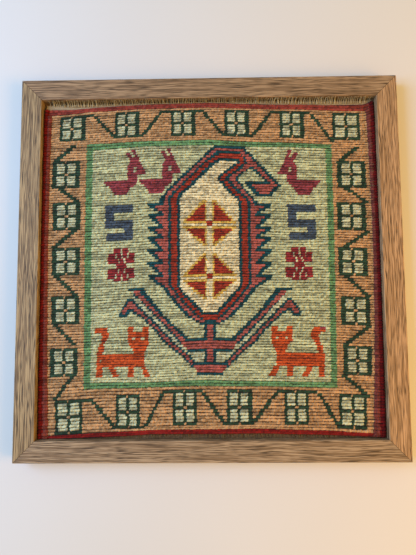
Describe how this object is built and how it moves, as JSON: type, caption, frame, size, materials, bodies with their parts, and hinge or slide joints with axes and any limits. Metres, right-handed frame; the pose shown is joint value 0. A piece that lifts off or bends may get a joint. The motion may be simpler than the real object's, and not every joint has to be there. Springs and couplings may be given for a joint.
{
  "type": "kilim in a picture frame",
  "caption": "Small woven kilim with a traditional boteh, birds and cats inside a vine border, laid flat in a square wood-finish picture frame.",
  "frame": {"origin": "centre of the frame's back face, on the surface that it lies on", "axes": "+Z out of the picture's front, +X to the picture's right, +Y to the picture's top"},
  "size_m": [0.44, 0.44, 0.0205],
  "materials": {
    "frame_wood": "oak-grain wrap, satin",
    "hardboard": "matt",
    "kilim_wool": "wrapped weft, matt wool",
    "warp_cotton": "matt cotton yarn"
  },
  "bodies": {
    "root": {"rail_bottom": "frame_wood", "rail_right": "frame_wood", "rail_top": "frame_wood", "rail_left": "frame_wood", "backing_board": "hardboard", "kilim": "kilim_wool", "warp_ends_top": "warp_cotton", "warp_ends_bottom": "warp_cotton"}
  },
  "joints": []
}
